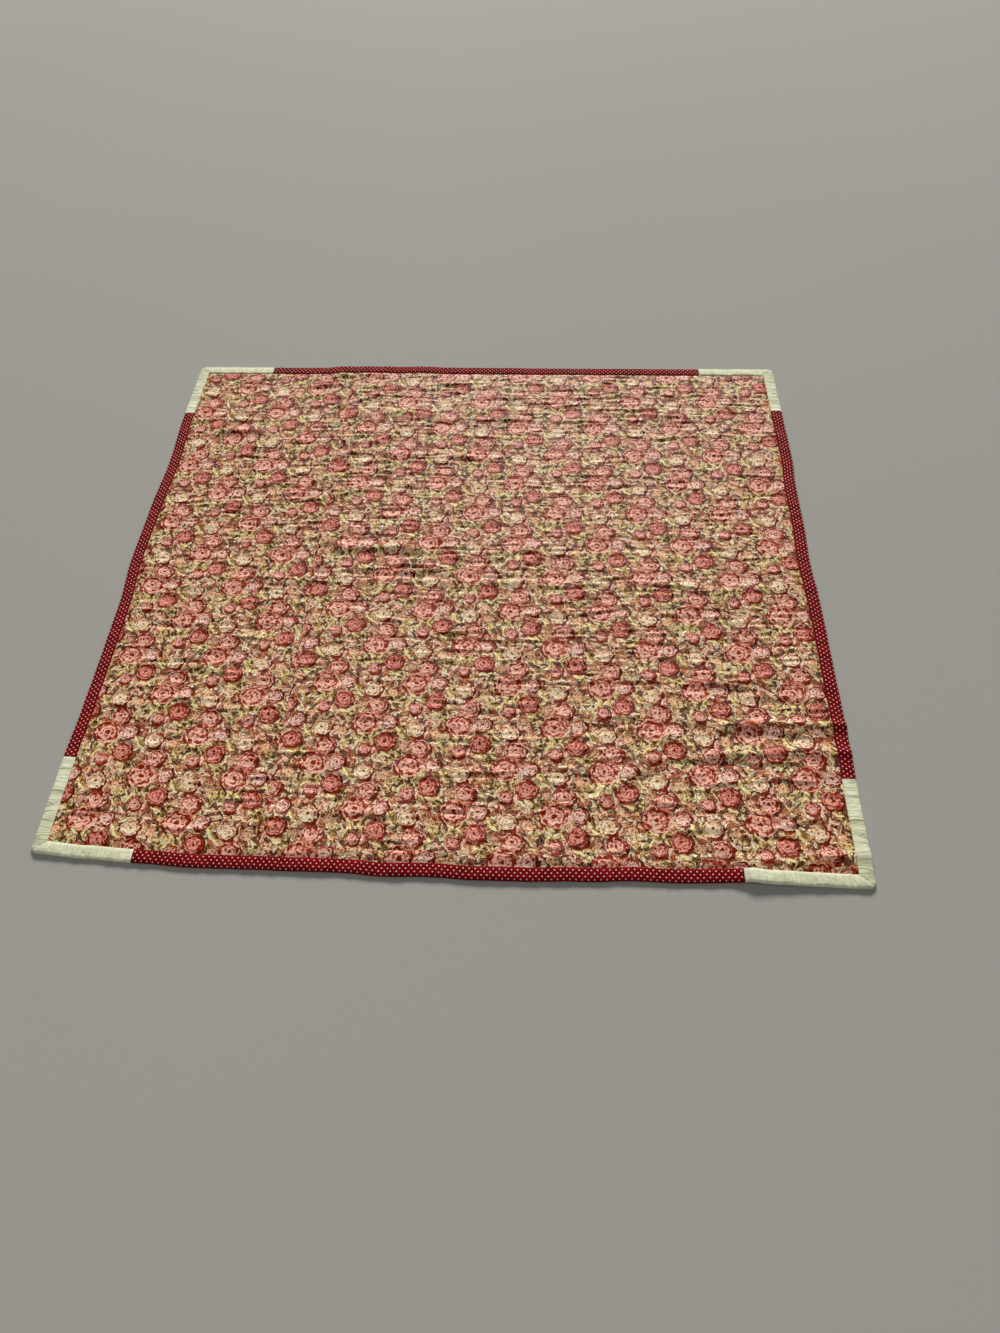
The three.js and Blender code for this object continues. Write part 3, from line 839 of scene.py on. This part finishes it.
def liningMaterial():
    material, shader = newMaterial("creamLining", lining)
    place = uvFrom("print")
    patch = noise(place, 0.02, 3.0, 0.6)
    feed(shader.inputs["Base Color"], mixColour(patch, *lining["cotton"]))
    addRelief(shader, place, noise(place, 0.12, 3.0, 0.55), lining)
    return material


rosePrint = printMaterial()
redPinDot = redMaterial()
creamCotton = creamMaterial()
creamLining = liningMaterial()
print("quilt: materials made")


panel = {
    "columnStep": 7.4,
    "rowStep": 2.2,
    "rawEdge": 2.2,  # the raw edge lies this far inside the binding's fold
    "cornerRound": 14,
    "edgeStops": [13, 24.4, 25.6, 28, 31, 34],
    "keptBelow": [24.4, 31],  # of these, what the underside has too
    "seamStops": [0.15, 0.9, 2.0, 3.6, 6],
    "seamFlat": 9,  # no crease runs nearer to the seam than this
    "underColumns": 6,  # the underside has every sixth column and every second row
    "underRows": 2,
    "loft": 5.2,
    "leastThick": 1.2,
    "gatherFade": 14,  # how fast the binding's gathers die out inside it
    "openTop": (24, 35),  # from the pressed edge to the open cloth
    "openUnder": (25, 31),
    "pressedTop": 4.0,  # heights of the edge inside the binding
    "pressedUnder": 1.3,
    "slack": 1.5,  # the underside leaves the floor under ridges higher than this
}


def panelUnder(across, along):
    base = foldHeight(across, along)
    inside = smoothStep(np.minimum(*edgeDistances(across, along)), *panel["openUnder"])
    openUnder = np.maximum(0, base - panel["slack"])
    return openUnder * inside + (panel["pressedUnder"] + np.maximum(0, base)) * (1 - inside)


def panelTop(across, along):
    inset = np.minimum(*edgeDistances(across, along))
    base = foldHeight(across, along)
    inside = smoothStep(inset, *panel["openTop"])
    fine = crumpleHeight(across, along) * smoothStep(np.abs(across - cloth["seam"]), 0, panel["seamFlat"])
    fade = np.exp(-np.maximum(0, inset - cloth["binding"]) / panel["gatherFade"])
    openTop = panel["loft"] + base + fine + gatherHeight(across, along) * fade
    top = openTop * inside + (panel["pressedTop"] + np.maximum(0, base)) * (1 - inside)
    return np.maximum(top, panelUnder(across, along) + panel["leastThick"])


def edgeStops(limit, fromEnd):
    stops = np.array([panel["rawEdge"], *panel["edgeStops"]])
    return limit - stops[::-1] if fromEnd else stops


def evenStops(first, last, step):
    return np.linspace(first, last, int(round((last - first) / step)) + 1)[1:-1]


# Which stops the underside keeps: every so many of the even ones, and a few beside the edges.
def lowerStops(stops, limit, every):
    inset = np.minimum(stops, limit - stops)
    kept = np.isclose(inset[:, None], panel["keptBelow"]).any(1)
    kept[::every] |= inset[::every] > panel["edgeStops"][-1]
    kept[[0, -1]] = True
    return np.flatnonzero(kept)


def pullIntoCorner(across, along):
    radius = panel["cornerRound"]
    middleX = np.clip(across, radius, cloth["width"] - radius)
    middleY = np.clip(along, radius, cloth["length"] - radius)
    away = np.hypot(across - middleX, along - middleY)
    scale = np.minimum(1, (radius - panel["rawEdge"]) / np.maximum(away, 1e-6))
    return middleX + (across - middleX) * scale, middleY + (along - middleY) * scale


# The print's own coordinates, from where the cloth lies in plan.
def printPlace(across, along, start):
    x, y = planPlace(across, along)
    x, y = x - start[0], y - start[1]
    east, north = chintz["east"], chintz["north"]
    spin = east[0] * north[1] - north[0] * east[1]
    printX = (north[1] * x - north[0] * y) / spin
    printY = (east[0] * y - east[1] * x) / spin
    return np.stack([printX, printY], -1).reshape(-1, 2)


def quadsOf(grid):
    corners = [grid[:-1, :-1], grid[1:, :-1], grid[1:, 1:], grid[:-1, 1:]]
    return np.stack(corners, -1).reshape(-1, 4).tolist()


# One width of the cloth: its top, walls that join it to the coarser underside, and the underside.
def makePanel(name, columns, start):
    border = panel["edgeStops"][-1]
    evenRows = evenStops(border, cloth["length"] - border, panel["rowStep"])
    rows = np.concatenate([edgeStops(cloth["length"], False), evenRows, edgeStops(cloth["length"], True)])
    across, along = pullIntoCorner(*np.meshgrid(columns, rows, indexing="ij"))
    grid = np.arange(across.size).reshape(across.shape)
    faces = quadsOf(grid)
    pickColumns = lowerStops(columns, cloth["width"], panel["underColumns"])
    pickRows = lowerStops(rows, cloth["length"], panel["underRows"])
    picked = np.ix_(pickColumns, pickRows)
    under = grid[picked]
    low = grid.size + np.arange(under.size).reshape(under.shape)
    wallStart = len(faces)
    backColumns, backRows = len(columns) - 1 - pickColumns[::-1], len(rows) - 1 - pickRows[::-1]
    walls = [
        (low[:, 0], grid[:, 0], pickColumns),
        (low[-1, :], grid[-1, :], pickRows),
        (low[::-1, -1], grid[::-1, -1], backColumns),
        (low[0, ::-1], grid[0, ::-1], backRows),
    ]
    for lowSide, topSide, picks in walls:
        for k, (first, last) in enumerate(zip(picks[:-1], picks[1:])):
            above = topSide[first:last + 1][::-1]
            faces.append([*lowSide[k:k + 2].tolist(), *above.tolist()])
    underStart = len(faces)
    faces += quadsOf(low.T)
    top = placePoints(across, along, panelTop(across, along))
    bottom = placePoints(across[picked], along[picked], panelUnder(across[picked], along[picked]))
    uvs = printPlace(across, along, start)
    uvMaps = {"print": np.concatenate([uvs, uvs[under.ravel()]])}
    points = np.concatenate([top, bottom])
    made = makeObject(name, points, faces, uvMaps, [rosePrint, creamLining], wallStart, underStart)
    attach(made, "root")
    return made


def makePanels():
    border, seam, width = panel["edgeStops"][-1], cloth["seam"], cloth["width"]
    besideSeam, step = np.array(panel["seamStops"]), panel["columnStep"]
    leftEven = evenStops(border, seam - besideSeam[-1], step)
    rightEven = evenStops(seam + besideSeam[-1], width - border, step)
    leftColumns = np.concatenate([edgeStops(width, False), leftEven, seam - besideSeam[::-1]])
    rightColumns = np.concatenate([seam + besideSeam, rightEven, edgeStops(width, True)])
    return (makePanel("panelLeft", leftColumns, chintz["leftStart"]),
            makePanel("panelRight", rightColumns, chintz["rightStart"]))


leftPanel, rightPanel = makePanels()
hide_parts("panel_left")
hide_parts("panel_right")
print("quilt: panels made")


binding = {
    "step": 2.0,
    "gap": 0.3,
    "outerRound": 14,
    "innerRound": 2,
    "cornerSteps": 14,
    "cornerArea": 30,  # the arms begin here
    "mitreDepth": 0.7,
    "mitreWidth": 2,
    "pressed": 0.4,  # the mitre shows where the gathers lift the section more than this
    "farFromEnd": 200,
    # the folded strip in section: distance in from the fold, height, and how far the gathers lift it
    "section": [(25, 4.5, 0), (25.2, 5.0, 0.1), (24.2, 5.5, 0.5), (19, 5.5, 1), (12, 5.6, 1), (6, 5.5, 0.9),
                (2.8, 5.1, 0.7), (0.9, 4.1, 0.3), (0, 2.8, 0.1), (0.5, 1.2, 0), (2.4, 0.15, 0), (6, 0, 0),
                (25, 0, 0), (25, 1.0, 0), (1.7, 1.0, 0), (1.7, 4.4, 0)],
}


# The section along a line, from the fold at its outer side to the edge at its inner side. Its map is
# the run of the strip and the walk around the section, or the distances from the quilt's edges.
def sweepBinding(name, outer, inner, endGap, strip, material):
    inwards, heights, lifts = np.array(binding["section"]).T[:, None, :]
    depth = inwards / cloth["binding"]
    across = outer[0][:, None] * (1 - depth) + inner[0][:, None] * depth
    along = outer[1][:, None] * (1 - depth) + inner[1][:, None] * depth
    fromSide, fromFront = edgeDistances(across, along)
    inCorner = np.maximum(fromSide, fromFront) < binding["cornerArea"]
    mitre = np.exp(-((fromSide - fromFront) / binding["mitreWidth"]) ** 2)
    mitre = binding["mitreDepth"] * mitre * inCorner * (lifts > binding["pressed"])
    base = np.maximum(0, foldHeight(across, along))
    points = placePoints(across, along, heights + base + lifts * gatherHeight(across, along) - mitre)
    ring = np.arange(across.size).reshape(across.shape)
    around = np.roll(ring, -1, axis=1)
    faces = np.stack([ring[:-1], around[:-1], around[1:], ring[1:]], -1).reshape(-1, 4).tolist()
    ends = [ring[0].tolist()[::-1], ring[-1].tolist()]
    if strip is None:
        uvs = np.stack([fromSide, fromFront], -1)
    else:
        walk = np.cumsum(np.hypot(np.diff(inwards[0], prepend=inwards[0, 0]),
                                  np.diff(heights[0], prepend=heights[0, 0])))
        uvs = np.stack([strip[:, None] + 0 * across, walk + 0 * across], -1)
    endUvs = np.stack([endGap[:, None] + 0 * across] * 2, -1)
    uvMaps = {"strip": uvs.reshape(-1, 2), "ends": endUvs.reshape(-1, 2)}
    made = makeObject(name, points, faces + ends, uvMaps, [material], len(faces))
    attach(made, "root")
    return made


def stripStops(first, last):
    first, last = first + binding["gap"] / 2, last - binding["gap"] / 2
    return np.linspace(first, last, int(round((last - first) / binding["step"])) + 1)


def turnRound(outer, inner, endGap):
    return [side[::-1] for side in outer], [side[::-1] for side in inner], endGap[::-1]


def makeStrip(name, firstArm, lastArm, isSide, isFar):
    width, length = cloth["width"], cloth["length"]
    reach, last = (width, length - lastArm) if isSide else (length, width - lastArm)
    stops = stripStops(firstArm, last)

    def line(inward):
        depth = np.full_like(stops, reach - inward if isFar else inward)
        return (depth, stops) if isSide else (stops, depth)

    outer, inner, run = line(0), line(cloth["binding"]), stops
    endGap = np.minimum(stops - firstArm, last - stops)
    if isSide != isFar:
        outer, inner, endGap = turnRound(outer, inner, endGap)
        run = stops[::-1]
    return sweepBinding(name, outer, inner, endGap, run, redPinDot)


def makeCorner(name, arm, isRight, isBack):
    acrossArm = stripStops(binding["cornerArea"], arm[0])[::-1]
    alongArm = stripStops(binding["cornerArea"], arm[1])
    turn = np.linspace(0, math.pi / 2, binding["cornerSteps"])
    outerRound, innerRound = binding["outerRound"], binding["innerRound"]
    edge, noArmX, noArmY = cloth["binding"], 0 * acrossArm, 0 * alongArm
    outerX = np.concatenate([acrossArm, outerRound * (1 - np.sin(turn)), noArmY])
    outerY = np.concatenate([noArmX, outerRound * (1 - np.cos(turn)), alongArm])
    innerX = np.concatenate([acrossArm, edge + innerRound - innerRound * np.sin(turn), noArmY + edge])
    innerY = np.concatenate([noArmX + edge, edge + innerRound - innerRound * np.cos(turn), alongArm])
    endGap = np.concatenate([arm[0] - acrossArm, 0 * turn + binding["farFromEnd"], arm[1] - alongArm])
    if isRight:
        outerX, innerX = cloth["width"] - outerX, cloth["width"] - innerX
    if isBack:
        outerY, innerY = cloth["length"] - outerY, cloth["length"] - innerY
    outer, inner = (outerX, outerY), (innerX, innerY)
    if isRight == isBack:
        outer, inner, endGap = turnRound(outer, inner, endGap)
    return sweepBinding(name, outer, inner, endGap, None, creamCotton)


frontLeft, frontRight, backLeft, backRight = creamArms.values()
bindings = {
    "binding_front": makeStrip("bindingFront", frontLeft[0], frontRight[0], isSide=False, isFar=False),
    "binding_back": makeStrip("bindingBack", backLeft[0], backRight[0], isSide=False, isFar=True),
    "binding_left": makeStrip("bindingLeft", frontLeft[1], backLeft[1], isSide=True, isFar=False),
    "binding_right": makeStrip("bindingRight", frontRight[1], backRight[1], isSide=True, isFar=True),
    "corner_front_left": makeCorner("cornerFrontLeft", frontLeft, isRight=False, isBack=False),
    "corner_front_right": makeCorner("cornerFrontRight", frontRight, isRight=True, isBack=False),
    "corner_back_left": makeCorner("cornerBackLeft", backLeft, isRight=False, isBack=True),
    "corner_back_right": makeCorner("cornerBackRight", backRight, isRight=True, isBack=True),
}
for node, made in bindings.items():
    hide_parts(node)
print("quilt: binding made")


floor = {
    "size": 60,
    "sunk": 0.0004,  # a little under the cloth
    "paint": ("a9a7a0", "adaba4"),
    "roughness": 0.9,
    "specular": 0.1,
}


def makeFloor():
    half = floor["size"] / 2
    mesh = bpy.data.meshes.new("floor")
    corners = [(-half, -half, 0), (half, -half, 0), (half, half, 0), (-half, half, 0)]
    mesh.from_pydata(corners, [], [(0, 1, 2, 3)])
    made = bpy.data.objects.new("floor", mesh)
    made.location.z = -floor["sunk"]
    scene.collection.objects.link(made)
    material, shader = newMaterial("floorPaint", floor)
    place = addNode("TexCoord").outputs["Object"]
    feed(shader.inputs["Base Color"], mixColour(noise(place, 0.5, 2.0), *floor["paint"]))
    mesh.materials.append(material)


makeFloor()

lights = {
    "window": {"place": (0.0, 22.0, 9.85), "size": (9.0, 5.2), "power": 7800, "colour": (1.0, 0.99, 0.97)},
    "ceiling": {"place": (-0.6, -2.6, 3.6), "size": (4.0, 4.0), "power": 36, "colour": (1.0, 0.98, 0.95)},
    "sky": {"colour": (0.92, 0.96, 1.0), "strength": 0.13},
}


def makeLight(name, settings):
    lamp = bpy.data.lights.new(name, "AREA")
    lamp.shape = "RECTANGLE"
    lamp.size, lamp.size_y = settings["size"]
    lamp.energy = settings["power"]
    lamp.color = settings["colour"]
    made = bpy.data.objects.new(name, lamp)
    made.location = settings["place"]
    made.rotation_euler = (-made.location).to_track_quat("-Z", "Y").to_euler()
    scene.collection.objects.link(made)


def makeSky(settings):
    world = bpy.data.worlds.new("sky")
    scene.world = world
    world.use_nodes = True
    backdrop = world.node_tree.nodes["Background"]
    backdrop.inputs["Color"].default_value = (*settings["colour"], 1)
    backdrop.inputs["Strength"].default_value = settings["strength"]


makeLight("windowLight", lights["window"])
makeLight("ceilingLight", lights["ceiling"])
makeSky(lights["sky"])
print("quilt: floor and lights placed")
